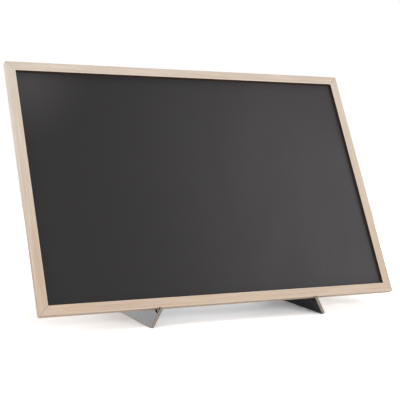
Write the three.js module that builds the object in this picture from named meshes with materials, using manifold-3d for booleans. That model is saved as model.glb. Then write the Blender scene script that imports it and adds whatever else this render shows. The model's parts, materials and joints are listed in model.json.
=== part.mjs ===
// Chalkboard with stand: a framed board that leans on a folding stand with two hinged wings.
// Millimetres. X runs along the board's width, -Y is the front, Z is up, and the floor is Z = 0.
import * as THREE from 'three';
import { mergeVertices } from 'three/addons/utils/BufferGeometryUtils.js';
import Module from 'manifold-3d';

const wasm = await Module();
wasm.setup();

// The board as a whole
const boardWidth = 600;
const boardHeight = 400;
const leanDegrees = 28.2; // back from upright
const frameLift = 29; // the frame's lower front edge above the floor
const fitGap = 0.3; // between pieces that touch

// Wooden rails, mitred at the corners
const railFace = 14.5;
const railDepth = 11;
const railArris = 0.8; // radius along the long edges
const rabbetWidth = 6;
const mitreGap = 0.3;

// Chalk panel, flush with the rails' back
const panelThickness = 3;
const panelPlay = 0.5; // beside the panel's edges

// Nails that hold the panel
const nailRadius = 0.6;
const nailLength = 6.5;
const nailHeadRadius = 1.8;
const nailHeadThickness = 0.6;
const nailInset = 2.8; // from a rail's inner edge
const nailPitch = 200;
const nailsOnLongRail = 3;
const nailsOnShortRail = 2;

// Angled nails across the mitres
const mitreNailLeg = 4;
const mitreNailThickness = 0.6;
const mitreNailDepth = 7;
const mitreNailInset = 4; // from the frame's outer edges

// The stand's plates
const plateThickness = 5;
const plateCorner = 5; // radius of the free corners
const standShift = 15; // the stand's middle to the right of the board's
const standHeight = 224; // up the board's back, from the frame's lower edge
const toeSpacing = 291; // between the wings' inner faces, at the floor
const wingLength = 148; // along the floor
const crownWidth = 18; // of a wing's top edge
const soleWidth = 2; // flat along a wing's lower edge
const lipDepth = 3; // in front of the frame
const lipRise = 0.8; // above the frame's lower front edge
const seatFall = 2.5; // of a wing's seat, from the frame's back down to the lip
const seatStep = 2.6; // of a wing's seat, up behind the frame
const panelClearance = 1; // from the wings' seats up to the stand panel

// Hinges between the stand panel and the wings
const leafLength = 30;
const leafReach = 12; // from the pin's axis
const leafThickness = 1;
const knuckleCount = 3;
const barrelRadius = 2.2;
const pinRadius = 0.85;
const pinHeadRadius = 1.6;
const pinHeadThickness = 0.6;
const hingeInset = 30; // from the ends of the hinge line to a hinge's middle

// Countersunk hinge screws
const screwRadius = 0.9;
const screwHeadRadius = 1.9;
const screwRim = 0.2;
const screwLength = 4.6;
const screwPitch = 18;
const screwInset = 3.6; // from a leaf's free edge
const recessWidth = 0.5;
const recessReach = 1.2;
const recessDepth = 0.6;

// Facets
const barSides = 16;
const nailSides = 10;
const roundingSteps = 4; // along a rounded corner
const weldDistance = 1e-4; // between corners that are one

// What follows from these
const lean = THREE.MathUtils.degToRad( leanDegrees );
const wingTilt = lean; // a folded wing's lower edge then lies along the stand panel's lower edge
const panelFace = railDepth - panelThickness; // behind the frame's face
const shoulder = panelFace - fitGap;
const standFace = railDepth + fitGap;
const standRear = standFace + plateThickness;
const axisOffset = barrelRadius + fitGap; // of a pin's axis from the plates' faces
const seatHeight = frameLift - railDepth * Math.sin( lean ) - fitGap;
const stepHeight = seatHeight + seatStep;
const panelFoot = stepHeight + panelClearance; // the stand panel's lower rear edge above the floor
const standLow = ( panelFoot - frameLift + standRear * Math.sin( lean ) ) / Math.cos( lean );

const wood = new THREE.MeshStandardMaterial( { color: 0xd9bf9b, roughness: 0.62, metalness: 0 } );
const slate = new THREE.MeshStandardMaterial( { color: 0x39393a, roughness: 0.82, metalness: 0 } );
const fibreboard = new THREE.MeshStandardMaterial( { color: 0x2a2a2b, roughness: 0.7, metalness: 0 } );
const steel = new THREE.MeshStandardMaterial( { color: 0xb4b2ac, roughness: 0.38, metalness: 1 } );

// Solids and cuts

function solidOf( geometry ) {

	const bare = geometry.clone();
	bare.deleteAttribute( 'normal' );
	bare.deleteAttribute( 'uv' );
	const merged = mergeVertices( bare, weldDistance );
	return new wasm.Manifold( new wasm.Mesh( {
		numProp: 3,
		vertProperties: new Float32Array( merged.attributes.position.array ),
		triVerts: new Uint32Array( merged.index.array )
	} ) );

}

function geometryOf( solid ) {

	const mesh = solid.getMesh();
	const geometry = new THREE.BufferGeometry();
	geometry.setAttribute( 'position', new THREE.Float32BufferAttribute( mesh.vertProperties, 3 ) );
	geometry.setIndex( new THREE.Uint32BufferAttribute( mesh.triVerts, 1 ) );
	geometry.computeVertexNormals();
	return geometry;

}

function joined( ...geometries ) {

	const solids = geometries.map( solidOf );
	return geometryOf( solids.reduce( ( sum, solid ) => sum.add( solid ) ) );

}

function cut( geometry, ...tools ) {

	const solids = [ geometry, ...tools ].map( solidOf );
	return geometryOf( solids.reduce( ( rest, solid ) => rest.subtract( solid ) ) );

}

// Takes the tools' shapes out of a placed mesh, where both lie in the assembly
function carve( mesh, tools ) {

	mesh.updateWorldMatrix( true, false );
	const toMesh = mesh.matrixWorld.clone().invert();
	mesh.geometry = cut( mesh.geometry, ...tools.map( ( tool ) => {

		tool.updateWorldMatrix( true, false );
		return tool.geometry.clone().applyMatrix4( toMesh.clone().multiply( tool.matrixWorld ) );

	} ) );

}

// The other hand of a geometry, with its faces still looking out
function otherHand( geometry ) {

	const copy = geometry.clone().scale( - 1, 1, 1 );
	const index = copy.index;
	for ( let i = 0; i < index.count; i += 3 ) {

		const first = index.getX( i );
		index.setX( i, index.getX( i + 1 ) );
		index.setX( i + 1, first );

	}

	copy.computeVertexNormals();
	return copy;

}

// The other hand of a right-hand group, placed and named for the left
function leftFromRight( right ) {

	const left = right.isMesh
		? part( right.name.replace( 'right', 'left' ), otherHand( right.geometry ), right.material )
		: new THREE.Group();
	const { x, y, z, w } = right.quaternion;
	left.quaternion.set( x, - y, - z, w );
	left.position.set( - right.position.x, right.position.y, right.position.z );
	right.children.forEach( ( child ) => left.add( leftFromRight( child ) ) );
	return left;

}

// Shapes

function part( name, geometry, material ) {

	const mesh = new THREE.Mesh( geometry, material.clone() );
	mesh.name = name;
	return mesh;

}

function box( x0, x1, y0, y1, z0, z1 ) {

	return new THREE.BoxGeometry( x1 - x0, y1 - y0, z1 - z0 )
		.translate( ( x0 + x1 ) / 2, ( y0 + y1 ) / 2, ( z0 + z1 ) / 2 );

}

// A round bar along Z
function bar( radius, z0, z1 ) {

	return new THREE.CylinderGeometry( radius, radius, z1 - z0, barSides )
		.rotateX( Math.PI / 2 )
		.translate( 0, 0, ( z0 + z1 ) / 2 );

}

// A turned solid along Y, from [ radius, y ] pairs that start and end on the axis
function turned( profile ) {

	return new THREE.LatheGeometry( profile.map( ( [ r, y ] ) => new THREE.Vector2( r, y ) ), nailSides );

}

// An outline of [ x, y ] corners, some with the reach of a rounding as a third number
function outline( corners ) {

	const shape = new THREE.Shape();
	corners.forEach( ( [ x, y, reach = 0 ], i ) => {

		const corner = new THREE.Vector2( x, y );
		const towards = ( j ) => {

			const [ otherX, otherY ] = corners[ ( j + corners.length ) % corners.length ];
			return new THREE.Vector2( otherX, otherY ).sub( corner ).setLength( reach ).add( corner );

		};
		const start = towards( i - 1 );
		const end = towards( i + 1 );
		if ( i === 0 ) shape.moveTo( start.x, start.y );
		else shape.lineTo( start.x, start.y );
		if ( reach > 0 ) shape.quadraticCurveTo( x, y, end.x, end.y );

	} );
	shape.closePath();
	return shape;

}

function slab( shape, depth ) {

	return new THREE.ExtrudeGeometry( shape, { depth, bevelEnabled: false, curveSegments: roundingSteps } );

}

// A slab whose outline is drawn in X and Z, reaching from its back at a depth y towards the front
function uprightSlab( shape, y, depth ) {

	return slab( shape, depth ).rotateX( Math.PI / 2 ).translate( 0, y, 0 );

}

// The board's axes: X along its width, Y into its depth, Z up it, from the middle of the lower front edge
function leaningGroup() {

	const group = new THREE.Group();
	group.position.z = frameLift;
	group.rotation.x = - lean;
	return group;

}

// The board

// A flat-headed nail that points to the front, with its head's face at Y = 0
function nail( clearance ) {

	const tip = - nailLength - clearance;
	const underHead = - nailHeadThickness - clearance;
	return turned( [
		[ 0, tip ],
		[ nailRadius + clearance, tip ],
		[ nailRadius + clearance, underHead ],
		[ nailHeadRadius + clearance, underHead ],
		[ nailHeadRadius + clearance, clearance ],
		[ 0, clearance ]
	] );

}

// An angled nail, driven in from the back across a mitre whose outer corner is at X = Z = 0
function mitreNail( clearance ) {

	const low = mitreNailInset - clearance;
	const bend = mitreNailInset + mitreNailThickness + clearance;
	const high = mitreNailInset + mitreNailLeg + clearance;
	const shape = outline( [
		[ low, low ],
		[ high, low ],
		[ high, bend ],
		[ bend, bend ],
		[ bend, high ],
		[ low, high ]
	] );
	return uprightSlab( shape, railDepth, mitreNailDepth + clearance );

}

// A rail: X along it, Y from its face to its back, Z in from the frame's outer edge
function rail( length, nailPlaces ) {

	const profile = outline( [
		[ 0, 0, railArris ],
		[ railDepth, 0, railArris ],
		[ railDepth, railFace - rabbetWidth ],
		[ shoulder, railFace - rabbetWidth ],
		[ shoulder, railFace ],
		[ 0, railFace, railArris ]
	] );
	const blank = slab( profile, length ).applyMatrix4( new THREE.Matrix4().makeBasis(
		new THREE.Vector3( 0, 1, 0 ), new THREE.Vector3( 0, 0, 1 ), new THREE.Vector3( 1, 0, 0 ) ) );
	blank.translate( - length / 2, 0, 0 );
	const points = blank.attributes.position;
	for ( let i = 0; i < points.count; i ++ ) {

		const mitre = length / 2 - points.getZ( i ) - mitreGap / Math.SQRT2;
		points.setX( i, points.getX( i ) > 0 ? mitre : - mitre );

	}

	const slots = [
		mitreNail( fitGap ).translate( - length / 2, 0, 0 ),
		mitreNail( fitGap ).rotateY( - Math.PI / 2 ).translate( length / 2, 0, 0 )
	];
	const holes = nailPlaces.map( ( x ) => nail( fitGap ).translate( x, railDepth, railFace - nailInset ) );
	return cut( blank, ...slots, ...holes );

}

function framedBoard() {

	const group = leaningGroup();
	const long = { length: boardWidth, nails: nailsOnLongRail };
	const short = { length: boardHeight, nails: nailsOnShortRail };
	const sides = [
		{ side: 'bottom', corner: 'lower_left', rail: long, x: 0, z: 0 },
		{ side: 'left', corner: 'upper_left', rail: short, x: - boardWidth / 2, z: boardHeight / 2 },
		{ side: 'top', corner: 'upper_right', rail: long, x: 0, z: boardHeight },
		{ side: 'right', corner: 'lower_right', rail: short, x: boardWidth / 2, z: boardHeight / 2 }
	];
	const holes = [];
	sides.forEach( ( { side, corner, rail: { length, nails }, x, z }, quarter ) => {

		const edge = new THREE.Group();
		edge.position.set( x, 0, z );
		edge.rotation.y = quarter * Math.PI / 2;
		const places = Array.from( { length: nails }, ( _, i ) => ( i - ( nails - 1 ) / 2 ) * nailPitch );
		const fastener = mitreNail( 0 ).translate( - length / 2, 0, 0 );
		edge.add( part( `${ side }_rail`, rail( length, places ), wood ) );
		edge.add( part( `${ corner }_mitre_nail`, fastener, steel ) );
		places.forEach( ( place, i ) => {

			const pin = part( `${ side }_panel_nail_${ i + 1 }`, nail( 0 ), steel );
			const hole = new THREE.Mesh( nail( fitGap ) );
			pin.position.set( place, railDepth, railFace - nailInset );
			hole.position.copy( pin.position );
			edge.add( pin, hole );
			holes.push( hole );

		} );
		group.add( edge );

	} );

	const inset = railFace - rabbetWidth + panelPlay;
	const panel = part( 'chalk_panel', box(
		inset - boardWidth / 2, boardWidth / 2 - inset,
		panelFace, railDepth,
		inset, boardHeight - inset
	), slate );
	group.add( panel );
	carve( panel, holes );
	holes.forEach( ( hole ) => hole.removeFromParent() );
	return group;

}

// The stand, as its right half and that half's other hand

// Height above the floor of a point on the stand panel's rear face
function rearHeight( up ) {

	return frameLift + up * Math.cos( lean ) - standRear * Math.sin( lean );

}

// Half the stand panel's width, flush with the wings' outer faces
function standHalfWidth( up ) {

	return toeSpacing / 2 + plateThickness / Math.cos( wingTilt ) - rearHeight( up ) * Math.tan( wingTilt );

}

function standPanel() {

	const low = standHalfWidth( standLow );
	const high = standHalfWidth( standHeight );
	const shape = outline( [
		[ - low, standLow ],
		[ low, standLow ],
		[ high, standHeight, plateCorner ],
		[ - high, standHeight, plateCorner ]
	] );
	return part( 'stand_panel', uprightSlab( shape, standRear, plateThickness ), fibreboard );

}

// A corner of a wing's outline, on its outer face: X back from the lip, Y up the plate
function wingCorner( back, height, reach = 0 ) {

	return [ back, ( height - plateThickness * Math.sin( wingTilt ) ) / Math.cos( wingTilt ), reach ];

}

// How far back from the lip a plane lies that leans at a depth behind the frame's face
function backTo( depth, height ) {

	return lipDepth + fitGap + ( depth + ( height - frameLift ) * Math.sin( lean ) ) / Math.cos( lean );

}

// How far back from the lip the wing's edge on the stand panel lies
function wingButt( height ) {

	return backTo( standRear + fitGap, height );

}

function rightWing() {

	const top = rearHeight( standHeight );
	const lipTop = frameLift + lipRise;
	const sunk = - soleWidth * Math.sin( wingTilt );
	const plate = slab( outline( [
		[ 0, sunk ],
		[ wingLength, sunk, plateCorner ],
		wingCorner( wingButt( top ) + crownWidth, top, plateCorner ),
		wingCorner( wingButt( top ), top ),
		wingCorner( wingButt( stepHeight ), stepHeight ),
		wingCorner( backTo( standFace, stepHeight ), stepHeight ),
		wingCorner( backTo( standFace, seatHeight ), seatHeight ),
		wingCorner( lipDepth, seatHeight - seatFall ),
		wingCorner( lipDepth, lipTop ),
		wingCorner( 0, lipTop )
	] ), plateThickness );
	const belowFloor = box( - wingLength, 2 * wingLength, - wingLength, 0, - wingLength, wingLength )
		.rotateX( wingTilt );
	const wing = part( 'right_wing', cut( plate, belowFloor ), fibreboard );
	wing.position.set( toeSpacing / 2, - lipDepth - fitGap, 0 );
	wing.quaternion.setFromRotationMatrix( new THREE.Matrix4().makeBasis(
		new THREE.Vector3( 0, 1, 0 ),
		new THREE.Vector3( - Math.sin( wingTilt ), 0, Math.cos( wingTilt ) ),
		new THREE.Vector3( Math.cos( wingTilt ), 0, Math.sin( wingTilt ) ) ) );
	return wing;

}

// A countersunk screw that points to -Y, with its head's face at Y = 0
function screw( clearance ) {

	const neck = screwHeadRadius - screwRadius + screwRim;
	return turned( [
		[ 0, - screwLength - clearance ],
		[ screwRadius / 2 + clearance, - screwLength - clearance ],
		[ screwRadius + clearance, screwRadius - screwLength ],
		[ screwRadius + clearance, - neck ],
		[ screwHeadRadius + clearance, - screwRim ],
		[ screwHeadRadius + clearance, clearance ],
		[ 0, clearance ]
	] );

}

function crossRecess() {

	const half = recessWidth / 2;
	return [
		box( - recessReach, recessReach, - recessDepth, recessDepth, - half, half ),
		box( - half, half, - recessDepth, recessDepth, - recessReach, recessReach )
	];

}

// A leaf: Z along the pin, its plate towards -X and its mounting face towards -Y.
// The two leaves of a hinge own its knuckles in turn, from the first or from the second.
function leaf( firstKnuckle ) {

	const half = leafLength / 2;
	const pitch = leafLength / knuckleCount;
	const plate = box( - leafReach, 0, - barrelRadius, leafThickness - barrelRadius, - half, half );
	const knuckles = [];
	const reliefs = [];
	for ( let place = 0; place < knuckleCount; place ++ ) {

		const low = place * pitch - half;
		const high = low + pitch;
		const play = fitGap / 2;
		if ( place % 2 === firstKnuckle ) knuckles.push( bar( barrelRadius, low + play, high - play ) );
		else reliefs.push( box( - axisOffset, axisOffset, - axisOffset, axisOffset, low - play, high + play ) );

	}

	const bore = bar( pinRadius + fitGap, - leafLength, leafLength );
	return cut( joined( cut( plate, ...reliefs ), ...knuckles ), bore );

}

// A leaf with its screws, and the holes that they need in the plate behind it
function screwedLeaf( name, firstKnuckle ) {

	const group = new THREE.Group();
	const metal = part( name, leaf( firstKnuckle ), steel );
	group.add( metal );
	const holes = [ - screwPitch / 2, screwPitch / 2 ].map( ( z, i ) => {

		const fastener = part( `${ name }_screw_${ i + 1 }`, cut( screw( 0 ), ...crossRecess() ), steel );
		const hole = new THREE.Mesh( screw( fitGap ) );
		fastener.position.set( screwInset - leafReach, leafThickness - barrelRadius, z );
		hole.position.copy( fastener.position );
		group.add( fastener, hole );
		return hole;

	} );
	carve( metal, holes );
	return { group, holes };

}

function hingePin( name ) {

	const end = ( leafLength + fitGap ) / 2;
	const head = end + pinHeadThickness;
	return part( name, joined(
		bar( pinRadius, - end - pinHeadThickness / 2, end + pinHeadThickness / 2 ),
		bar( pinHeadRadius, end, head ),
		bar( pinHeadRadius, - head, - end )
	), steel );

}

// A hinge at a run up the right hinge line: X out to the side, Y back, Z along the pin
function rightHinge( level, run ) {

	const foot = new THREE.Vector3( standHalfWidth( standLow ), standRear, standLow );
	const head = new THREE.Vector3( standHalfWidth( standHeight ), standRear, standHeight );
	const along = head.clone().sub( foot ).normalize();
	const back = new THREE.Vector3( 0, 1, 0 );
	const aside = back.clone().cross( along );
	const wingSide = new THREE.Vector3( Math.cos( wingTilt ), 0, Math.sin( wingTilt ) );
	const panelSide = new THREE.Vector3( 0, Math.cos( lean ), - Math.sin( lean ) );
	const openAngle = wingSide.angleTo( panelSide ); // between the faces that carry the leaves
	const inwards = ( plateThickness + axisOffset + axisOffset * Math.cos( openAngle ) ) / Math.sin( openAngle );

	const hinge = new THREE.Group();
	hinge.quaternion.setFromRotationMatrix( new THREE.Matrix4().makeBasis( aside, back, along ) );
	hinge.position.copy( foot )
		.addScaledVector( along, run > 0 ? run : foot.distanceTo( head ) + run )
		.addScaledVector( aside, - inwards )
		.addScaledVector( back, axisOffset );
	const onPanel = screwedLeaf( `right_${ level }_panel_leaf`, 0 );
	const onWing = screwedLeaf( `right_${ level }_wing_leaf`, 1 );
	onWing.group.rotation.set( Math.PI, 0, - openAngle, 'ZXY' );
	hinge.add( onPanel.group, onWing.group, hingePin( `right_${ level }_hinge_pin` ) );
	return { hinge, panelHoles: onPanel.holes, wingHoles: onWing.holes };

}

function stand() {

	const group = new THREE.Group();
	const leaning = leaningGroup();
	const panel = standPanel();
	const wing = rightWing();
	const hinges = [ rightHinge( 'lower', hingeInset ), rightHinge( 'upper', - hingeInset ) ];
	leaning.add( panel, ...hinges.map( ( { hinge } ) => hinge ) );
	group.add( leaning, wing );

	const wingHoles = hinges.flatMap( ( hinge ) => hinge.wingHoles );
	const panelHoles = hinges.flatMap( ( hinge ) => hinge.panelHoles );
	carve( wing, wingHoles );

	// The panel is alike on both hands, so it is carved, turned to its other hand, and that once more
	for ( let hand = 0; hand < 2; hand ++ ) {

		carve( panel, panelHoles );
		panel.geometry = otherHand( panel.geometry );

	}

	[ ...wingHoles, ...panelHoles ].forEach( ( hole ) => hole.removeFromParent() );
	leaning.add( ...hinges.map( ( { hinge } ) => leftFromRight( hinge ) ) );
	group.add( leftFromRight( wing ) );
	group.position.x = standShift;
	return group;

}

const chalkboard = new THREE.Group();
chalkboard.add( framedBoard(), stand() );

// The origin is on the floor under the middle of the whole
const extent = new THREE.Box3().setFromObject( chalkboard, true );
chalkboard.children.forEach( ( half ) => {

	half.position.x -= ( extent.min.x + extent.max.x ) / 2;
	half.position.y -= ( extent.min.y + extent.max.y ) / 2;

} );

export default chalkboard;
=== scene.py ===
"""Finishes a framed chalkboard that leans on a folding stand with two hinged wings."""

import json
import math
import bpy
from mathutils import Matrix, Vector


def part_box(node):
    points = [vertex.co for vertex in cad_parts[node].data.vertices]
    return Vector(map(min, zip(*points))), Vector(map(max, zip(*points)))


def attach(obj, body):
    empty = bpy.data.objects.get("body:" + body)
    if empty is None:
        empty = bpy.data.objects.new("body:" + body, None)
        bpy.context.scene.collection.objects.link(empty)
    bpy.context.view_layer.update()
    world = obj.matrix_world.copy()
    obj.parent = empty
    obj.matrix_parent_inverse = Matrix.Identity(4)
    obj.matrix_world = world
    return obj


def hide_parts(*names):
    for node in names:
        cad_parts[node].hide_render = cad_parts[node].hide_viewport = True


bl_info = {
    "name": "Chalkboard with Stand",
    "version": (1, 0, 0),
    "blender": (4, 5, 0),
    "location": "View3D > Sidebar > Chalkboard",
    "description": "Makes the wooden frame, chalk panel, folding stand, hinges and nails of a chalkboard",
    "category": "Add Mesh",
}

import bmesh
import bpy
from mathutils import Matrix, Vector

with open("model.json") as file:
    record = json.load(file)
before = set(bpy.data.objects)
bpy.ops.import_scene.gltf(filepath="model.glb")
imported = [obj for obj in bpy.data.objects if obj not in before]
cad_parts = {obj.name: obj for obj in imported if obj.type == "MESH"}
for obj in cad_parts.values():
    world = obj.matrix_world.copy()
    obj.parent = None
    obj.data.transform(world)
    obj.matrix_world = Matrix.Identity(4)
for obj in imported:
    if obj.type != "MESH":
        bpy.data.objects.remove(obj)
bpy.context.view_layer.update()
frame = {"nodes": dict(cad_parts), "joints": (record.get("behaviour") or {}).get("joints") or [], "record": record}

FIT_GAP = 0.0003  # between pieces that touch
WELD = 1e-6  # between corners that are one
FLAT = math.radians(1)  # between faces that are one
SIDE = Vector((1, 0, 0))
JOINT_AXES = {joint["name"]: Vector(joint["axis"]) for joint in frame["joints"]}
UP = JOINT_AXES["board_lift"]
BACK = UP.cross(SIDE)
BODIES = {node: body for body, nodes in frame["record"]["behaviour"]["bodies"].items() for node in nodes}

SIDES = ("bottom", "left", "top", "right")
HANDS = ("left", "right")
LEVELS = ("lower", "upper")
GRAIN_SHIFT = 1.7  # along the grain, from one rail to the next
HEARTWOOD_AND_SHADE = {  # heartwood tint, partly painted shade: its share from a rail's first end to its last, darkening the frame towards its bottom
    "bottom": (1.0, 0.85),
    "left": (0.0, 1.0),
    "top": (0.4, 0.25),
    "right": (0.8, 0.3),
}
FACE_LIKE = 0.999  # how nearly a plate's wide faces point square to it
EDGE_LIKE = 0.4  # and the most that its cut edges do
NOTCH_DEPTH = 0.016  # how far behind the board's face the wings' notches reach
NOTCH_REACH = 0.008  # and how far above and below its lower edge
SCREW_REACH = 0.75  # how far round a screw its hole reaches, in diagonals of the screw's box
SCREW_TURN = 50  # degrees from one screw's cross to the next one's

ROUND_SIDES = 32
ARC_STEPS = 6
CURL_STEPS = 24
NAIL_UNDERSIDE = ((0.93, -1), (1, -0.75))  # shares of a head's radius and of its height
NAIL_CROWN = ((0.95, 0.2), (0.75, 0.75), (0.4, 1), (0, 1))
PIN_CROWN = ((1, 0.5), (0.88, 0.8), (0.55, 0.96), (0, 1))
SCREW_CROWN = ((1, 0), (0.93, 0.45), (0.8, 0.8), (0.62, 1))

FLOOR_REACH = 8
NEAR_CLIP = 0.01
LAMP_AIM = (0, 0, 0.2)
LAMPS = {  # place and size
    "front": ((0.5, -2.6, 0.75), (2.4, 1.5)),
    "left": ((-2.6, 0.1, 0.75), (2.4, 1.5)),
    "right": ((2.0, 1.9, 0.75), (2.4, 1.5)),
    "rear": ((-0.6, 2.6, 0.75), (2.4, 1.5)),
    "top": ((-0.2, -0.3, 3.0), (2.4, 2.4)),
}


# Places in the frame

def nodes_with(word):
    """The names of the frame's nodes that hold a word."""
    return [name for name in frame["nodes"] if word in name]


def axes(origin, x, y, z):
    """The matrix of a set of axes."""
    return Matrix.Translation(origin) @ Matrix((x, y, z)).transposed().to_4x4()


def extent(names, place):
    """The lowest and highest corner of some nodes of the frame, measured along a set of axes."""
    inverse = place.inverted()
    points = [inverse @ v.co for name in names for v in frame["nodes"][name].data.vertices]
    low = Vector(min(p[i] for p in points) for i in range(3))
    high = Vector(max(p[i] for p in points) for i in range(3))
    return low, high


def board_axes():
    """X along the board's width, Y into its depth, Z up it, from the middle of the lower front edge."""
    level = axes(Vector(), SIDE, BACK, UP)
    low, high = extent([f"{side}_rail" for side in SIDES], level)
    return level @ Matrix.Translation(((low.x + high.x) / 2, low.y, low.z)), high - low


BOARD, BOARD_SIZE = board_axes()


def rail_axes(quarter):
    """X along a rail, Y into its depth, Z in from the frame's outer edge; and the rail's length."""
    width, _, height = BOARD_SIZE
    places = ((0, 0), (-width / 2, height / 2), (0, height), (width / 2, height / 2))
    x, z = places[quarter]
    turn = Matrix.Rotation(quarter * math.pi / 2, 4, "Y")
    return BOARD @ Matrix.Translation((x, 0, z)) @ turn, (width, height)[quarter % 2]


def head_axes(node, place):
    """Axes from the middle of a turned node's head; with the head's radius and the node's length.

    The node is turned about the Y axis of place, and its head's face is towards Y.
    """
    low, high = extent([node], place)
    middle = (low + high) / 2
    radius = max(high.x - low.x, high.z - low.z) / 2
    return place @ Matrix.Translation((middle.x, high.y, middle.z)), radius, high.y - low.y


def leaf_axes(leaf):
    """Z along a hinge's pin, from its middle; the leaf's plate is towards -X and its face towards Y."""
    hand, level = leaf.split("_")[:2]
    low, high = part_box(f"{hand}_{level}_hinge_pin")
    origin = (low + high) / 2
    along = JOINT_AXES[f"{hand}_wing_fold"]
    widest = max(frame["nodes"][leaf].data.polygons, key=lambda face: face.area)
    to_pin = origin - widest.center
    out = widest.normal if widest.normal.dot(to_pin) > 0 else -widest.normal
    across = out.cross(along)
    if across.dot(to_pin) < 0:
        across, along = -across, -along
    return axes(origin, across, out, along)


# Settings

def colour(name, description, default):
    """A colour setting."""
    return bpy.props.FloatVectorProperty(
        name=name, description=description, default=default, subtype="COLOR", size=3, min=0, max=1)


def length(name, description, default):
    """A setting in metres."""
    return bpy.props.FloatProperty(
        name=name, description=description, default=default, min=0, unit="LENGTH", precision=5)


def share(name, description, default):
    """A setting from 0 to 1."""
    return bpy.props.FloatProperty(
        name=name, description=description, default=default, min=0, max=1, subtype="FACTOR")


def angle(name, description, degrees):
    """An angle setting, given in degrees."""
    return bpy.props.FloatProperty(
        name=name, description=description, default=math.radians(degrees), subtype="ANGLE")


def power(name, description, default):
    """A setting in watts."""
    return bpy.props.FloatProperty(
        name=name, description=description, default=default, min=0, unit="POWER")


class FrameSettings(bpy.types.PropertyGroup):
    """The rails' wood and joints."""

    pale: colour("Pale wood", "Colour of the wood between its streaks", (0.735, 0.66, 0.57))
    warm: colour("Warm wood", "Colour of the warmer streaks", (0.66, 0.53, 0.43))
    grey: colour("Grey wood", "Colour of the weathered streaks", (0.605, 0.555, 0.475))
    # The heartwood tint doubles as painted shade that darkens the frame towards its bottom
    heart_and_shade: colour("Heartwood", "Tint of the wood towards its heart", (0.86, 0.76, 0.68))
    stain: colour("Stain", "Colour of the frame's inner walls", (0.050, 0.031, 0.021))
    arris: length("Arris", "Radius along a rail's long edges", 0.0008)
    seam: length("Seam", "Gap at the mitres", 0.0003)


class PanelSettings(bpy.types.PropertyGroup):
    """The chalk panel."""

    face: colour("Chalk face", "Colour of the chalk coating", (0.0225, 0.0210, 0.0216))
    # Colour of the chalk specks, also used for the painted sheen and painted highlight on the panel
    dust_and_sheen: colour("Chalk dust", "Colour of wiped chalk", (0.077, 0.073, 0.0745))
    rear: colour("Rear", "Colour of the bare fibreboard behind", (0.20, 0.13, 0.075))
    roughness: share("Roughness", "Roughness of the chalk coating", 0.72)
    coat: length("Coating", "Thickness of the chalk coating", 0.0003)
    edge: length("Edge", "Width of the panel's broken edges", 0.0003)


class StandSettings(bpy.types.PropertyGroup):
    """The stand panel and the wings."""

    face: colour("Face", "Colour of the plates' faces", (0.007, 0.007, 0.0075))
    edge: colour("Edge", "Colour of the plates' raw edges", (0.27, 0.23, 0.187))
    # Painted shade: the cuts inside the wings' notches lie deep under the bottom rail and get this dark colour
    notch_shade: colour("Notch", "Colour of the stained cuts inside the wings' notches", (0.045, 0.028, 0.019))
    roughness: share("Roughness", "Roughness of the plates' faces", 0.2)
    broken: length("Broken edge", "Width of the plates' broken edges", 0.00025)


class NailSettings(bpy.types.PropertyGroup):
    """The nails."""

    tint: colour("Wire", "Colour of the nails", (0.50, 0.49, 0.47))
    roughness: share("Roughness", "Roughness of the nails", 0.38)
    shank: length("Shank", "Radius of a panel nail's shank", 0.0006)
    head: length("Head", "Thickness of a panel nail's head", 0.0006)
    point: length("Point", "Length of a panel nail's point", 0.0012)
    proud: length("Height", "How far a nail stands out of the wood", 0.00012)


class HingeSettings(bpy.types.PropertyGroup):
    """The hinges and their screws."""

    tint: colour("Zinc", "Colour of the hinges and their screws", (0.62, 0.61, 0.58))
    roughness: share("Roughness", "Roughness of the hinges", 0.34)
    sheet: length("Sheet", "Thickness of the sheet that the leaves are bent from", 0.001)
    corner: length("Corner", "Radius of a leaf's free corners", 0.002)
    curl: angle("Curl", "How far a leaf's knuckles are rolled round the pin", 295)
    broken: length("Broken edge", "Width of the leaves' broken edges", 0.0001)
    countersink: length("Countersink", "Gap round a screw's head", 0.00008)
    shank: length("Shank", "Radius of a screw's shank", 0.0009)
    dome: length("Dome", "Height of a screw's raised head", 0.0004)
    recess: length("Recess", "Width of the cross in a screw's head", 0.0005)
    recess_reach: length("Recess reach", "Reach of the cross from a screw's middle", 0.00105)
    recess_depth: length("Recess depth", "Depth of the cross in a screw's head", 0.0006)
    pin: length("Pin", "Radius of a pin", 0.00085)
    pin_head: length("Pin head", "Thickness of a pin's heads", 0.0006)


class StageSettings(bpy.types.PropertyGroup):
    """The floor, the light and the camera."""

    floor: colour("Floor", "Colour of the floor", (0.90, 0.90, 0.905))
    floor_gain: bpy.props.FloatProperty(
        name="Floor gain", description="How much paler than its light the floor is to the camera",
        default=1.9, min=1)
    floor_fade: bpy.props.FloatVectorProperty(
        name="Floor fade", description="How far from the board the floor starts and ends to turn white",
        default=(0.9, 1.7), size=2, min=0, unit="LENGTH")
    ambient: share("Ambient", "Strength of the light from all round", 0.2)
    front: power("Front lamp", "Power of the lamp in front", 54)
    left: power("Left lamp", "Power of the lamp at the left", 29)
    right: power("Right lamp", "Power of the lamp behind at the right", 49)
    rear: power("Rear lamp", "Power of the lamp behind", 26)
    top: power("Top lamp", "Power of the lamp above", 18)
    eye: bpy.props.FloatVectorProperty(
        name="Eye", description="Place of the camera", default=(-0.6844, -1.3393, 0.3097),
        subtype="TRANSLATION")
    yaw: angle("Yaw", "Turn of the camera to the right", 26.71)
    pitch: angle("Pitch", "Tilt of the camera down", 5.15)
    roll: angle("Roll", "Turn of the camera about its view", 1.54)
    focal: bpy.props.FloatProperty(
        name="Focal length", description="Focal length in widths of the picture", default=2.385, min=0)


# Meshes

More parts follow.
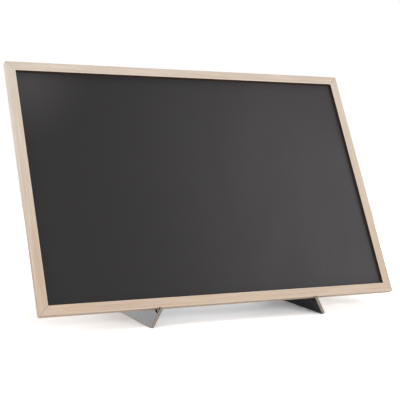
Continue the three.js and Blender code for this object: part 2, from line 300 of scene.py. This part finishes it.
def piece(name, bm, materials, node, place):
    """Turns a bmesh into a piece that stands for a node of the frame and rides on its body.

    place is the set of axes in which its finish is laid out, in metres.
    """
    mesh = bpy.data.meshes.new(name)
    bmesh.ops.recalc_face_normals(bm, faces=bm.faces)
    bm.to_mesh(mesh)
    bm.free()
    for material in materials:
        mesh.materials.append(material)
    lay_out(mesh, place)
    made = bpy.data.objects.new(name, mesh)
    bpy.context.scene.collection.objects.link(made)
    smooth(made)
    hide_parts(node)
    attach(made, BODIES[node])
    return made


def lay_out(mesh, place):
    """Writes each corner's place along a set of axes, for the materials to read."""
    inverse = place.inverted()
    spots = mesh.attributes.new("spot", "FLOAT_VECTOR", "POINT")
    for vertex, spot in zip(mesh.vertices, spots.data):
        spot.vector = inverse @ vertex.co


def smooth(made, sharp=math.radians(32)):
    """Shades round stretches smooth and keeps flat faces flat."""
    for face in made.data.polygons:
        face.use_smooth = True
    made.data.set_sharp_from_angle(angle=sharp)
    weighted = made.modifiers.new("Flat faces", "WEIGHTED_NORMAL")
    weighted.keep_sharp = True


def arc(x, y, radius, start, end):
    """Points along an arc, with its angles in degrees."""
    turns = [math.radians(start + (end - start) * i / ARC_STEPS) for i in range(ARC_STEPS + 1)]
    return [(x + radius * math.cos(turn), y + radius * math.sin(turn)) for turn in turns]


def strip(bm, rings, closed=True):
    """Faces between rings of vertices, of which one with a single vertex is a tip; closed adds the ends."""
    made = []
    for near, far in zip(rings, rings[1:]):
        count = max(len(near), len(far))
        for i in range(count):
            j = (i + 1) % count
            corners = (near[i % len(near)], near[j % len(near)], far[j % len(far)], far[i % len(far)])
            made.append(bm.faces.new(list(dict.fromkeys(corners))))
    if closed:
        bm.faces.new(list(reversed(rings[0])))
        bm.faces.new(rings[-1])
    return made


def ring(bm, radius, place, height=0.0):
    """A ring of vertices about the Y axis of place, or a single one on it."""
    sides = ROUND_SIDES if radius > 0 else 1
    turns = (math.tau * i / sides for i in range(sides))
    return [bm.verts.new(place @ Vector((radius * math.cos(turn), height, radius * math.sin(turn))))
            for turn in turns]


def turned(bm, profile, place):
    """A solid turned about the Y axis of place, from [radius, height] points; gives its last ring."""
    rings = [ring(bm, radius, place, height) for radius, height in profile]
    strip(bm, rings, closed=False)
    return rings[-1]


def rounded(shape, radius, foot, height):
    """[radius, height] points up a head, from shares of its radius and of its height above a foot."""
    return [(radius * across, foot + height * up) for across, up in shape]


def filled(bm, loops, normal):
    """Fills a flat outline that has holes in it, each a loop of vertices."""
    edges = []
    for loop in loops:
        for a, b in zip(loop, loop[1:] + loop[:1]):
            edges.append(bm.edges.get((a, b)) or bm.edges.new((a, b)))
    bmesh.ops.triangle_fill(bm, use_beauty=True, use_dissolve=False, edges=edges, normal=normal)


def broken_edges(bm, width, least_angle=math.radians(35), segments=2):
    """Breaks the sharp edges of a solid."""
    edges = [e for e in bm.edges if e.is_manifold and e.calc_face_angle(0) > least_angle]
    bmesh.ops.bevel(bm, geom=edges, offset=width, offset_type="OFFSET", segments=segments,
                    profile=0.5, affect="EDGES", clamp_overlap=True)


# Materials

class Finish:
    """A node material under construction."""

    def __init__(self, name):
        self.material = bpy.data.materials.new(name)
        self.material.use_nodes = True
        self.tree = self.material.node_tree
        self.shader = self.tree.nodes["Principled BSDF"]
        self.spot = self.node("ShaderNodeAttribute", {}, attribute_name="spot").outputs["Vector"]

    def node(self, kind, inputs, **settings):
        """A new node, with values or links for its inputs."""
        made = self.tree.nodes.new(kind)
        for key, value in settings.items():
            setattr(made, key, value)
        for key, value in inputs.items():
            self.put(made.inputs[key], value)
        return made

    def put(self, socket, value):
        """Links a socket to another, or sets its value."""
        if isinstance(value, bpy.types.NodeSocket):
            self.tree.links.new(value, socket)
        elif socket.type == "RGBA":
            socket.default_value = (*value, 1)
        else:
            socket.default_value = value

    def noise(self, per_metre, detail=3.0, roughness=0.5, distortion=0.0, shift=(0, 0, 0)):
        """Noise with so many waves a metre along each of the piece's axes."""
        spread = self.node("ShaderNodeMapping", {"Vector": self.spot, "Scale": per_metre, "Location": shift})
        return self.node("ShaderNodeTexNoise", {
            "Vector": spread.outputs["Vector"], "Scale": 1.0, "Detail": detail,
            "Roughness": roughness, "Distortion": distortion}).outputs["Fac"]

    def ridges(self, per_metre, axis, wander):
        """Ridges square to one of the piece's axes, so many a metre; a wave at scale 1 turns 20 radians."""
        return self.node("ShaderNodeTexWave", {
            "Vector": self.spot, "Scale": per_metre * math.tau / 20, "Distortion": wander, "Detail": 1.0},
            wave_type="BANDS", bands_direction=axis, wave_profile="SIN").outputs["Fac"]

    def distance(self, point, stretch=(1, 1, 1)):
        """How far a spot lies from a point, with the axes stretched."""
        flat = self.node("ShaderNodeVectorMath", {0: self.spot, 1: stretch}, operation="MULTIPLY")
        return self.node("ShaderNodeVectorMath", {0: flat.outputs["Vector"], 1: point},
                         operation="DISTANCE").outputs["Value"]

    def along(self, axis):
        """A spot's place along one of the piece's axes."""
        return self.node("ShaderNodeSeparateXYZ", {"Vector": self.spot}).outputs[axis]

    def ramp(self, value, low, high, start=0.0, end=1.0):
        """Maps a value's range from low to high onto start to end."""
        return self.node("ShaderNodeMapRange", {
            "Value": value, "From Min": low, "From Max": high, "To Min": start, "To Max": end},
            interpolation_type="SMOOTHSTEP").outputs["Result"]

    def mix(self, amount, a, b, blend="MIX"):
        """One colour mixed into another."""
        first, second, result = 6, 7, 2  # the node's sockets for colours
        made = self.node("ShaderNodeMix", {"Factor": amount, first: a, second: b},
                         data_type="RGBA", blend_type=blend)
        return made.outputs[result]

    def maths(self, operation, a, b):
        """One sum on two numbers."""
        return self.node("ShaderNodeMath", {0: a, 1: b}, operation=operation).outputs[0]

    def bump(self, height, depth, onto=None):
        """A bump whose height runs over a depth in metres."""
        inputs = {"Height": height, "Distance": depth, "Strength": 1.0}
        if onto is not None:
            inputs["Normal"] = onto
        return self.node("ShaderNodeBump", inputs).outputs["Normal"]

    def surface(self, **values):
        """The finished material."""
        names = {"colour": "Base Color", "roughness": "Roughness", "metal": "Metallic", "normal": "Normal",
                 "ior": "IOR", "specular": "Specular IOR Level"}
        for key, value in values.items():
            self.put(self.shader.inputs[names[key]], value)
        return self.material


def shade(tint, factor):
    """A colour made darker or paler."""
    return tuple(min(1, channel * factor) for channel in tint)


def wood(settings, name, face, heart_and_shade):
    """Pale wood with fine soft streaks along X, and a painted highlight in patches along the arrises of its face.

    heart_and_shade is how much heartwood tint it has at its two ends, as [place along X, share] pairs; the tint is
    partly painted shade that darkens the frame towards its bottom.
    """
    finish = Finish(name)
    streaks = finish.noise((8, 480, 480), detail=4, roughness=0.6, distortion=0.5)
    fine = finish.noise((14, 1100, 1100), detail=3, roughness=0.6, shift=(5, 2, 8))
    drift = finish.noise((5, 190, 190), detail=2, shift=(3, 1, 2))
    slow = finish.noise((9, 20, 20), detail=2, shift=(7, 7, 1))
    fibres = finish.noise((40, 2600, 2600), detail=3, roughness=0.6)
    pores = finish.noise((55, 1900, 1900), detail=2, shift=(9, 4, 7))
    body = finish.mix(finish.ramp(streaks, 0.36, 0.66), settings.pale, settings.warm)
    body = finish.mix(finish.ramp(drift, 0.47, 0.72, 0, 0.7), body, settings.grey)
    body = finish.mix(finish.ramp(fine, 0.40, 0.75, 0, 0.4), body, shade(settings.grey, 0.93))
    body = finish.mix(finish.ramp(fibres, 0.35, 0.75, 0, 0.2), body, settings.warm)
    body = finish.mix(finish.ramp(slow, 0.35, 0.70, 0, 0.16), body, shade(settings.warm, 0.72))
    body = finish.mix(finish.ramp(pores, 0.66, 0.78, 0, 0.4), body, shade(settings.warm, 0.5))
    # Heartwood tint, partly painted shade that darkens the frame towards its bottom
    (start, first), (end, last) = heart_and_shade
    heart_and_shade_share = finish.ramp(finish.along("X"), start, end, first, last)
    body = finish.mix(heart_and_shade_share, body, settings.heart_and_shade, "MULTIPLY")
    outer = finish.distance((0, 0, 0), stretch=(0, 1, 1))
    inner = finish.distance((0, 0, face), stretch=(0, 1, 1))
    arris = finish.maths("MINIMUM", outer, inner)
    # Painted highlight in patches along the face's outer and inner arrises
    painted_arris_highlight = finish.maths("MULTIPLY", finish.ramp(arris, 0.0004, 0.0016, 1, 0), finish.ramp(slow, 0.3, 0.6))
    body = finish.mix(finish.maths("MULTIPLY", painted_arris_highlight, 0.5), body, shade(settings.pale, 1.07))
    rough = finish.ramp(fibres, 0.3, 0.7, 0.52, 0.68)
    grain = finish.bump(fibres, 0.00006)
    return finish.surface(colour=body, roughness=rough, normal=finish.bump(pores, 0.00005, onto=grain),
                          specular=0.35)


def stained_wood(settings):
    """Dark stain on the frame's inner walls, with the wood's fibres in it."""
    finish = Finish("dark_stain")
    fibres = finish.noise((40, 1800, 1800), detail=3, roughness=0.6)
    patches = finish.noise((60, 300, 300), detail=2)
    body = finish.mix(finish.ramp(patches, 0.45, 0.75, 0, 0.5), settings.stain, shade(settings.stain, 1.8))
    return finish.surface(colour=body, roughness=finish.ramp(fibres, 0.3, 0.7, 0.6, 0.8),
                          normal=finish.bump(fibres, 0.00008), specular=0.2)


def chalk_coating(settings, size):
    """Charcoal coating, rolled on, with specks of chalk and a painted sheen in the pale chalk colour that
    brightens to the right and fades towards the top, and a painted highlight at the top-left corner.
    """
    finish = Finish("chalk_coating")
    stipple = finish.noise((900, 900, 900), detail=3, roughness=0.55)
    waves = finish.noise((22, 9, 16), detail=2)
    across = finish.along("X")
    # Painted sheen: the pale chalk colour rises across the panel to the right and fades towards its top
    painted_sheen = finish.maths(
        "MULTIPLY", finish.ramp(across, -0.36 * size.x, 0.46 * size.x, 0.02, 0.76),
        finish.ramp(finish.along("Z"), 0.5 * size.z, size.z, 1, 0.72))
    # Painted highlight at the panel's top-left corner
    corner = finish.ramp(finish.distance((-size.x / 2, 0, size.z)), 0.01, 0.15, 0.62, 0)
    painted_sheen_and_highlight = finish.maths("ADD", painted_sheen, corner)
    cloud = finish.noise((9, 9, 5), detail=4, roughness=0.6, distortion=0.8, shift=(2, 5, 1))
    wipes = finish.noise((30, 60, 7), detail=3, distortion=0.5, shift=(6, 2, 8))
    uneven = finish.maths(
        "MULTIPLY", finish.ramp(cloud, 0.2, 0.8, 0.9, 1.1), finish.ramp(wipes, 0.2, 0.8, 0.94, 1.06))
    # The painted sheen and highlight, broken up at random, over the charcoal
    body = finish.mix(finish.maths("MULTIPLY", painted_sheen_and_highlight, uneven), settings.face, settings.dust_and_sheen)
    specks = finish.noise((2600, 2600, 2600), detail=1, shift=(4, 4, 4))
    body = finish.mix(finish.ramp(specks, 0.70, 0.80, 0.0, 0.18), body, settings.dust_and_sheen)
    fine = finish.bump(stipple, 0.00005)
    rough = finish.ramp(stipple, 0.3, 0.7, settings.roughness - 0.05, settings.roughness + 0.08)
    return finish.surface(colour=body, roughness=rough, normal=finish.bump(waves, 0.0002, onto=fine),
                          specular=0.18)


def pressed_fibre(name, tint, grid):
    """Pressed fibre: with the print of a wire screen, or in layers on a cut edge."""
    finish = Finish(name)
    fineness, contrast = (700, 0.22) if grid else (1500, 0.1)
    clumps = finish.noise((fineness, fineness, fineness), detail=4, roughness=0.65)
    layering = (180, 1500, 180) if grid else (60, 60, 3200)
    layers = finish.noise(layering, detail=3, roughness=0.6, shift=(1, 7, 3))
    body = finish.mix(finish.ramp(clumps, 0.35, 0.68), shade(tint, 1 - contrast), shade(tint, 1 + contrast))
    body = finish.mix(finish.ramp(layers, 0.50, 0.72, 0.0, contrast * 1.8), body, shade(tint, 0.55))
    relief = finish.bump(clumps, 0.00012)
    if grid:
        screen = finish.maths("MULTIPLY", finish.ridges(608, "X", 1.0), finish.ridges(608, "Z", 1.0))
        body = finish.mix(finish.ramp(screen, 0.2, 0.7, 0.3, 0), body, shade(tint, 0.6))
        relief = finish.bump(screen, 0.0002, onto=relief)
    return finish.surface(colour=body, roughness=0.85, normal=finish.bump(layers, 0.00008, onto=relief),
                          specular=0.2)


def satin_black(settings):
    """Black satin facing with faint scuffs."""
    finish = Finish("satin_black")
    emboss = finish.noise((1500, 1500, 1500), detail=2)
    waves = finish.noise((30, 22, 30), detail=2)
    scuffs = finish.noise((90, 420, 90), detail=5, roughness=0.7, distortion=1.2, shift=(5, 1, 0))
    body = finish.mix(finish.ramp(scuffs, 0.60, 0.80, 0.0, 0.35), settings.face, shade(settings.face, 3))
    rough = finish.ramp(scuffs, 0.3, 0.8, settings.roughness, settings.roughness + 0.12)
    relief = finish.bump(waves, 0.0002, onto=finish.bump(emboss, 0.00002))
    return finish.surface(colour=body, roughness=rough, normal=relief, ior=1.42)


def metal(name, settings):
    """Plated or drawn steel with fine marks."""
    finish = Finish(name)
    marks = finish.noise((900, 900, 4200), detail=3, roughness=0.6)
    bloom = finish.noise((300, 300, 300), detail=3, shift=(3, 3, 3))
    body = finish.mix(finish.ramp(bloom, 0.4, 0.75, 0.0, 0.5), settings.tint, shade(settings.tint, 0.72))
    rough = finish.ramp(bloom, 0.3, 0.7, settings.roughness - 0.08, settings.roughness + 0.12)
    return finish.surface(colour=body, metal=1.0, roughness=rough, normal=finish.bump(marks, 0.00001))


# The board

def rail_profile(settings, size, shoulder, rabbet):
    """A rail's section as [back, inwards] points, and the number of the one where its inner wall starts."""
    radius = settings.arris
    outer = arc(radius, radius, radius, 270, 180)
    inner = arc(radius, size.z - radius, radius, 180, 90)
    rest = [(shoulder, size.z), (shoulder, rabbet), (size.y, rabbet)]
    rear = arc(size.y - radius, radius, radius, 0, -90)
    return outer + inner + rest + rear, len(outer) + len(inner) - 1


class CHALKBOARD_OT_rails(bpy.types.Operator):
    """Make the frame's mitred rails"""

    bl_idname = "chalkboard.rails"
    bl_label = "Rails"

    def execute(self, context):
        settings = context.scene.chalkboard_frame
        panel_low, _ = extent(["chalk_panel"], BOARD)
        low, high = extent(["bottom_rail"], BOARD)
        size = high - low
        profile, wall = rail_profile(settings, size, panel_low.y - FIT_GAP, panel_low.z - FIT_GAP)
        stained = stained_wood(settings)
        for quarter, side in enumerate(SIDES):
            place, long = rail_axes(quarter)
            shift = quarter * GRAIN_SHIFT
            # Each rail's heartwood tint, partly painted shade
            heart_and_shade = tuple(zip((-long / 2 - shift, long / 2 - shift), HEARTWOOD_AND_SHADE[side]))
            bm = bmesh.new()
            rings = []
            for end in (-1, 1):
                reach = [long / 2 - inwards - settings.seam / math.sqrt(2) for _, inwards in profile]
                rings.append([bm.verts.new(place @ Vector((end * x, back, inwards)))
                              for x, (back, inwards) in zip(reach, profile)])
            faces = strip(bm, rings)
            faces[wall].material_index = 1
            pale = wood(settings, f"{side}_rail_wood", size.z, heart_and_shade)
            grain = place @ Matrix.Translation((shift, 0, 0))
            piece(f"{side}_rail_wood", bm, (pale, stained), f"{side}_rail", grain)
        return {"FINISHED"}


class CHALKBOARD_OT_chalk_panel(bpy.types.Operator):
    """Make the chalk panel, a fibre board with a coating whose edge stands out a little"""

    bl_idname = "chalkboard.chalk_panel"
    bl_label = "Chalk Panel"

    def execute(self, context):
        settings = context.scene.chalkboard_panel
        low, high = extent(["chalk_panel"], BOARD)
        edge = settings.edge
        coated = low.y + edge + settings.coat
        steps = ((edge, low.y), (0, low.y + edge), (0, coated), (edge / 2, coated),
                 (edge / 2, high.y - edge), (edge * 1.5, high.y))
        bm = bmesh.new()
        rings = []
        for inset, depth in steps:
            corners = ((low.x + inset, low.z + inset), (high.x - inset, low.z + inset),
                       (high.x - inset, high.z - inset), (low.x + inset, high.z - inset))
            rings.append([bm.verts.new(BOARD @ Vector((x, depth, z))) for x, z in corners])
        strip(bm, rings)
        inverse = BOARD.inverted()
        for face in bm.faces:
            middle = inverse @ face.calc_center_median()
            face.material_index = 0 if middle.y < coated else 1
        materials = (chalk_coating(settings, BOARD_SIZE), pressed_fibre("panel_rear", settings.rear, True))
        piece("chalk_panel_sheet", bm, materials, "chalk_panel", BOARD)
        return {"FINISHED"}


class CHALKBOARD_OT_nails(bpy.types.Operator):
    """Make the nails that hold the panel and the angled ones across the mitres"""

    bl_idname = "chalkboard.nails"
    bl_label = "Nails"

    def execute(self, context):
        settings = context.scene.chalkboard_nails
        steel = metal("nail_wire", settings)
        for node in nodes_with("panel_nail"):
            place, radius, long = head_axes(node, BOARD)
            shank, proud = settings.shank, settings.proud
            bm = bmesh.new()
            profile = [(0, -long), (shank, settings.point - long), (shank, -settings.head)]
            profile += rounded(NAIL_UNDERSIDE, radius, 0, settings.head)
            profile.append((radius, -proud / 2))
            profile += rounded(NAIL_CROWN, radius, 0, proud)
            turned(bm, profile, place)
            piece(f"{node}_turned", bm, [steel], node, place)
        for node in nodes_with("mitre_nail"):
            bm = bmesh.new()
            bm.from_mesh(frame["nodes"][node].data)
            bmesh.ops.remove_doubles(bm, verts=bm.verts, dist=WELD)
            bmesh.ops.dissolve_limit(bm, angle_limit=FLAT, verts=bm.verts, edges=bm.edges)
            bmesh.ops.translate(bm, verts=bm.verts, vec=BACK * settings.proud)
            broken_edges(bm, settings.proud)
            piece(f"{node}_sheared", bm, [steel], node, BOARD)
        return {"FINISHED"}


# The stand

def plate(node, screws, broken):
    """A plate of the frame without its screw holes, which the hinges cover, and with its edges broken.

    Its materials are those of its faces, its cut edges and the cuts inside its notches, which carry painted shade,
    in that order.
    """
    bm = bmesh.new()
    bm.from_mesh(frame["nodes"][node].data)
    bmesh.ops.remove_doubles(bm, verts=bm.verts, dist=WELD)
    bm.normal_update()
    normal = max(bm.faces, key=lambda face: face.calc_area()).normal.copy()
    for screw in screws:
        low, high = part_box(screw)
        middle = (low + high) / 2
        reach = (high - low).length
        near = [v for v in bm.verts if (v.co - middle).length < reach * SCREW_REACH]
        bmesh.ops.delete(bm, geom=near, context="VERTS")
    wide = [face for face in bm.faces if abs(face.normal.dot(normal)) > FACE_LIKE]
    bmesh.ops.delete(bm, geom=wide, context="FACES")
    wires = [e for e in bm.edges if not e.link_faces]
    bmesh.ops.delete(bm, geom=wires, context="EDGES")
    bmesh.ops.holes_fill(bm, edges=[e for e in bm.edges if e.is_boundary], sides=0)
    bmesh.ops.dissolve_limit(bm, angle_limit=FLAT, verts=bm.verts, edges=bm.edges)
    bmesh.ops.recalc_face_normals(bm, faces=bm.faces)
    broken_edges(bm, broken)
    bm.normal_update()
    inverse = BOARD.inverted()
    for face in bm.faces:
        spot = inverse @ face.calc_center_median()
        in_notch = 0 < spot.y < NOTCH_DEPTH and abs(spot.z) < NOTCH_REACH
        # Cuts inside the notches get the painted shade
        cut = 2 if in_notch else 1
        face.material_index = 0 if abs(face.normal.dot(normal)) > EDGE_LIKE else cut
    level = Vector((0, 0, 1)).cross(normal).normalized()
    centre = sum((v.co for v in bm.verts), Vector()) / len(bm.verts)
    return bm, axes(centre, level, normal.cross(level), normal)


class CHALKBOARD_OT_plates(bpy.types.Operator):
    """Make the stand panel and the two wings"""

    bl_idname = "chalkboard.plates"
    bl_label = "Stand Plates"

    def execute(self, context):
        settings = context.scene.chalkboard_stand
        # The third material is the painted shade inside the notches
        materials = (satin_black(settings), pressed_fibre("raw_edge", settings.edge, False),
                     pressed_fibre("notch_edge", settings.notch_shade, False))
        plates = {"stand_panel": ("panel_leaf", HANDS),
                  "left_wing": ("wing_leaf", ("left",)),
                  "right_wing": ("wing_leaf", ("right",))}
        for node, (leaf, hands) in plates.items():
            screws = [screw for hand in hands for level in LEVELS
                      for screw in nodes_with(f"{hand}_{level}_{leaf}_screw")]
            bm, place = plate(node, screws, settings.broken)
            piece(f"{node}_plate", bm, materials, node, place)
        return {"FINISHED"}


def rolled(along, height, radius, sheet):
    """Where a point of a leaf's sheet lies once its knuckles are rolled.

    along is measured from under the pin, and height from the mounting face.
    """
    if along <= 0:
        return along, height - radius
    turn = along / (radius - sheet / 2) - math.pi / 2
    return (radius - height) * math.cos(turn), (radius - height) * math.sin(turn)


def leaf_sheet(settings, leaf, place):
    """A leaf bent from sheet: a plate with rounded free corners and countersunk holes, and its knuckles."""
    low, high = extent([leaf], place)
    radius, end = high.x, high.z
    third, play = end / 3, FIT_GAP / 2
    relief = -(radius + FIT_GAP)
    spans = ((-third + play, third - play),)
    if "panel" in leaf:
        spans = ((-end + play, -third - play), (third + play, end - play))
    curl = settings.curl * (radius - settings.sheet / 2)
    rows = [relief] + [curl * i / CURL_STEPS for i in range(CURL_STEPS + 1)]

    outline = arc(low.x + settings.corner, -end + settings.corner, settings.corner, 180, 270)
    outline.append((relief, -end))
    rim = list(outline)
    for near, far in spans:
        outline += [(relief, near), (relief, far)]
        rim += [(row, near) for row in rows] + [(row, far) for row in reversed(rows)]
    last = [(relief, end)] + arc(low.x + settings.corner, end - settings.corner, settings.corner, 90, 180)
    outline += last
    rim += last

    bm = bmesh.new()
    layers = []
    for height in (0, settings.sheet):
        corners = {}
        for along, z in rim:
            x, y = rolled(along, height, radius, settings.sheet)
            corners[along, z] = bm.verts.new(place @ Vector((x, y, z)))
        for near, far in spans:
            for row, following in zip(rows, rows[1:]):
                bm.faces.new([corners[key] for key in (
                    (row, near), (row, far), (following, far), (following, near))])
        holes = []
        for screw in nodes_with(f"{leaf}_screw"):
            hole, head, _ = head_axes(screw, place)
            bore = (head if height else settings.shank) + settings.countersink
            level = hole @ Matrix.Translation((0, height - settings.sheet, 0))
            holes.append(ring(bm, bore, level))
        filled(bm, [[corners[key] for key in outline]] + holes, place.col[1].xyz)
        layers.append(([corners[key] for key in rim], *holes))
    for lower, upper in zip(*layers):
        strip(bm, [lower, upper], closed=False)
    bmesh.ops.recalc_face_normals(bm, faces=bm.faces)
    broken_edges(bm, settings.broken)
    return bm


def cross(bm, settings, place):
    """A ring of vertices round a screw's cross, in the X and Z of place."""
    half, reach = settings.recess / 2, settings.recess_reach
    arm = ((reach, -half), (reach, half), (half, half))
    made = []
    for quarter in range(4):
        turn = place @ Matrix.Rotation(-quarter * math.pi / 2, 4, "Y")
        made += [bm.verts.new(turn @ Vector((x, 0, z))) for x, z in arm]
    return made


class CHALKBOARD_OT_hinges(bpy.types.Operator):
    """Make the hinges' leaves and pins"""

    bl_idname = "chalkboard.hinges"
    bl_label = "Hinges"

    def execute(self, context):
        settings = context.scene.chalkboard_hinges
        zinc = metal("zinc_plate", settings)
        leaves = [node for node in nodes_with("leaf") if node.endswith("leaf")]
        for leaf in leaves:
            place = leaf_axes(leaf)
            piece(f"{leaf}_bent", leaf_sheet(settings, leaf, place), [zinc], leaf, place)
        for node in nodes_with("hinge_pin"):
            pin_axes = leaf_axes(node.replace("hinge_pin", "panel_leaf"))
            upright = pin_axes @ Matrix.Rotation(math.pi / 2, 4, "X")
            _, radius, long = head_axes(node, upright)
            end, head = long / 2, settings.pin_head
            half = [(settings.pin, end - head), (radius, end - head)]
            half += rounded(PIN_CROWN, radius, end - head, head)
            bm = bmesh.new()
            turned(bm, [(r, -y) for r, y in reversed(half)] + half, upright)
            piece(f"{node}_headed", bm, [zinc], node, upright)
        return {"FINISHED"}


class CHALKBOARD_OT_screws(bpy.types.Operator):
    """Make the hinges' raised countersunk screws"""

    bl_idname = "chalkboard.screws"
    bl_label = "Screws"

    def execute(self, context):
        settings = context.scene.chalkboard_hinges
        zinc = metal("zinc_screw", settings)
        for number, node in enumerate(nodes_with("leaf_screw")):
            leaf = node.split("_screw")[0]
            place, radius, long = head_axes(node, leaf_axes(leaf))
            place = place @ Matrix.Rotation(math.radians(SCREW_TURN * number), 4, "Y")
            shank, dome = settings.shank, settings.dome
            bm = bmesh.new()
            profile = [(0, -long), (shank / 2, -long), (shank, shank - long), (shank, shank - radius)]
            profile += rounded(SCREW_CROWN, radius, 0, dome)
            top = turned(bm, profile, place)
            opening, floor = (
                cross(bm, settings, place @ Matrix.Translation((0, height, 0)))
                for height in (dome, dome - settings.recess_depth))
            filled(bm, [top, opening], place.col[1].xyz)
            strip(bm, [opening, floor], closed=False)
            bm.faces.new(floor)
            piece(f"{node}_driven", bm, [zinc], node, place)
        return {"FINISHED"}


# The stage

def area_lamp(name, place, size, watts):
    """A soft lamp that the camera doesn't see."""
    lamp = bpy.data.lights.new(name, "AREA")
    lamp.shape = "RECTANGLE"
    lamp.size, lamp.size_y = size
    lamp.energy = watts
    made = bpy.data.objects.new(name, lamp)
    made.location = place
    made.rotation_euler = (Vector(LAMP_AIM) - Vector(place)).to_track_quat("-Z", "Y").to_euler()
    made.visible_camera = False
    bpy.context.scene.collection.objects.link(made)


def seen(tree, rays):
    """1 on rays of some kinds and 0 on others."""
    path = tree.nodes.new("ShaderNodeLightPath")
    total = path.outputs[rays[0]]
    for name in rays[1:]:
        either = tree.nodes.new("ShaderNodeMath")
        either.operation = "MAXIMUM"
        tree.links.new(total, either.inputs[0])
        tree.links.new(path.outputs[name], either.inputs[1])
        total = either.outputs[0]
    return total


def floor_material(settings):
    """A pale floor that keeps the shadow, and that the camera sees turn white away from the board."""
    finish = Finish("pale_floor")
    camera = seen(finish.tree, ("Is Camera Ray", "Is Transmission Ray"))
    paler = tuple(channel * settings.floor_gain for channel in settings.floor)
    matt = finish.node("ShaderNodeBsdfDiffuse", {"Color": finish.mix(camera, settings.floor, paler)})
    white = finish.node("ShaderNodeEmission", {"Color": (1, 1, 1), "Strength": 1.0})
    spot = finish.node("ShaderNodeTexCoord", {}).outputs["Object"]
    away = finish.node("ShaderNodeVectorMath", {0: spot}, operation="LENGTH").outputs["Value"]
    faded = finish.maths("MULTIPLY", camera, finish.ramp(away, *settings.floor_fade))
    both = finish.node("ShaderNodeMixShader", {0: faded, 1: matt.outputs[0], 2: white.outputs[0]})
    finish.tree.links.new(both.outputs[0], finish.tree.nodes["Material Output"].inputs["Surface"])
    finish.tree.nodes.remove(finish.shader)
    return finish.material


class CHALKBOARD_OT_stage(bpy.types.Operator):
    """Make the floor, the lamps, the surroundings and the camera"""

    bl_idname = "chalkboard.stage"
    bl_label = "Stage"

    def execute(self, context):
        settings = context.scene.chalkboard_stage
        scene = context.scene
        scene.view_settings.view_transform = "Standard"

        bm = bmesh.new()
        bmesh.ops.create_grid(bm, x_segments=1, y_segments=1, size=FLOOR_REACH)
        mesh = bpy.data.meshes.new("floor")
        bm.to_mesh(mesh)
        bm.free()
        floor = bpy.data.objects.new("floor", mesh)
        mesh.materials.append(floor_material(settings))
        scene.collection.objects.link(floor)

        world = bpy.data.worlds.new("studio")
        world.use_nodes = True
        scene.world = world
        tree = world.node_tree
        background = tree.nodes["Background"]
        background.inputs["Color"].default_value = (1, 1, 1, 1)
        strength = tree.nodes.new("ShaderNodeMapRange")
        strength.inputs["To Min"].default_value = settings.ambient
        strength.inputs["To Max"].default_value = 1
        rays = ("Is Camera Ray", "Is Glossy Ray", "Is Transmission Ray")
        tree.links.new(seen(tree, rays), strength.inputs["Value"])
        tree.links.new(strength.outputs[0], background.inputs["Strength"])

        for name, (place, size) in LAMPS.items():
            area_lamp(f"{name}_lamp", place, size, getattr(settings, name))

        camera = bpy.data.objects.new("camera", bpy.data.cameras.new("camera"))
        camera.data.lens = camera.data.sensor_width * settings.focal
        camera.data.clip_start = NEAR_CLIP
        camera.matrix_world = (
            Matrix.Translation(settings.eye)
            @ Matrix.Rotation(-settings.yaw, 4, "Z")
            @ Matrix.Rotation(math.pi / 2 - settings.pitch, 4, "X")
            @ Matrix.Rotation(settings.roll, 4, "Z"))
        scene.collection.objects.link(camera)
        scene.camera = camera
        return {"FINISHED"}


# The add-on

SETTINGS = {
    "chalkboard_frame": FrameSettings,
    "chalkboard_panel": PanelSettings,
    "chalkboard_stand": StandSettings,
    "chalkboard_nails": NailSettings,
    "chalkboard_hinges": HingeSettings,
    "chalkboard_stage": StageSettings,
}
OPERATORS = (
    CHALKBOARD_OT_rails,
    CHALKBOARD_OT_chalk_panel,
    CHALKBOARD_OT_nails,
    CHALKBOARD_OT_plates,
    CHALKBOARD_OT_hinges,
    CHALKBOARD_OT_screws,
    CHALKBOARD_OT_stage,
)


class VIEW3D_PT_chalkboard(bpy.types.Panel):
    """Lists the pieces to make and their settings"""

    bl_label = "Chalkboard"
    bl_space_type = "VIEW_3D"
    bl_region_type = "UI"
    bl_category = "Chalkboard"

    def draw(self, context):
        for operator in OPERATORS:
            self.layout.operator(operator.bl_idname)
        for name, group in SETTINGS.items():
            box = self.layout.box()
            for key in group.__annotations__:
                box.prop(getattr(context.scene, name), key)


def register():
    for cls in (*SETTINGS.values(), *OPERATORS, VIEW3D_PT_chalkboard):
        bpy.utils.register_class(cls)
    for name, group in SETTINGS.items():
        setattr(bpy.types.Scene, name, bpy.props.PointerProperty(type=group))


def unregister():
    for name in SETTINGS:
        delattr(bpy.types.Scene, name)
    for cls in reversed((*SETTINGS.values(), *OPERATORS, VIEW3D_PT_chalkboard)):
        bpy.utils.unregister_class(cls)


def main():
    """Makes the whole chalkboard."""
    register()
    bpy.ops.chalkboard.stage()
    bpy.ops.chalkboard.rails()
    bpy.ops.chalkboard.chalk_panel()
    bpy.ops.chalkboard.nails()
    bpy.ops.chalkboard.plates()
    bpy.ops.chalkboard.hinges()
    bpy.ops.chalkboard.screws()


if __name__ == "__main__":
    main()
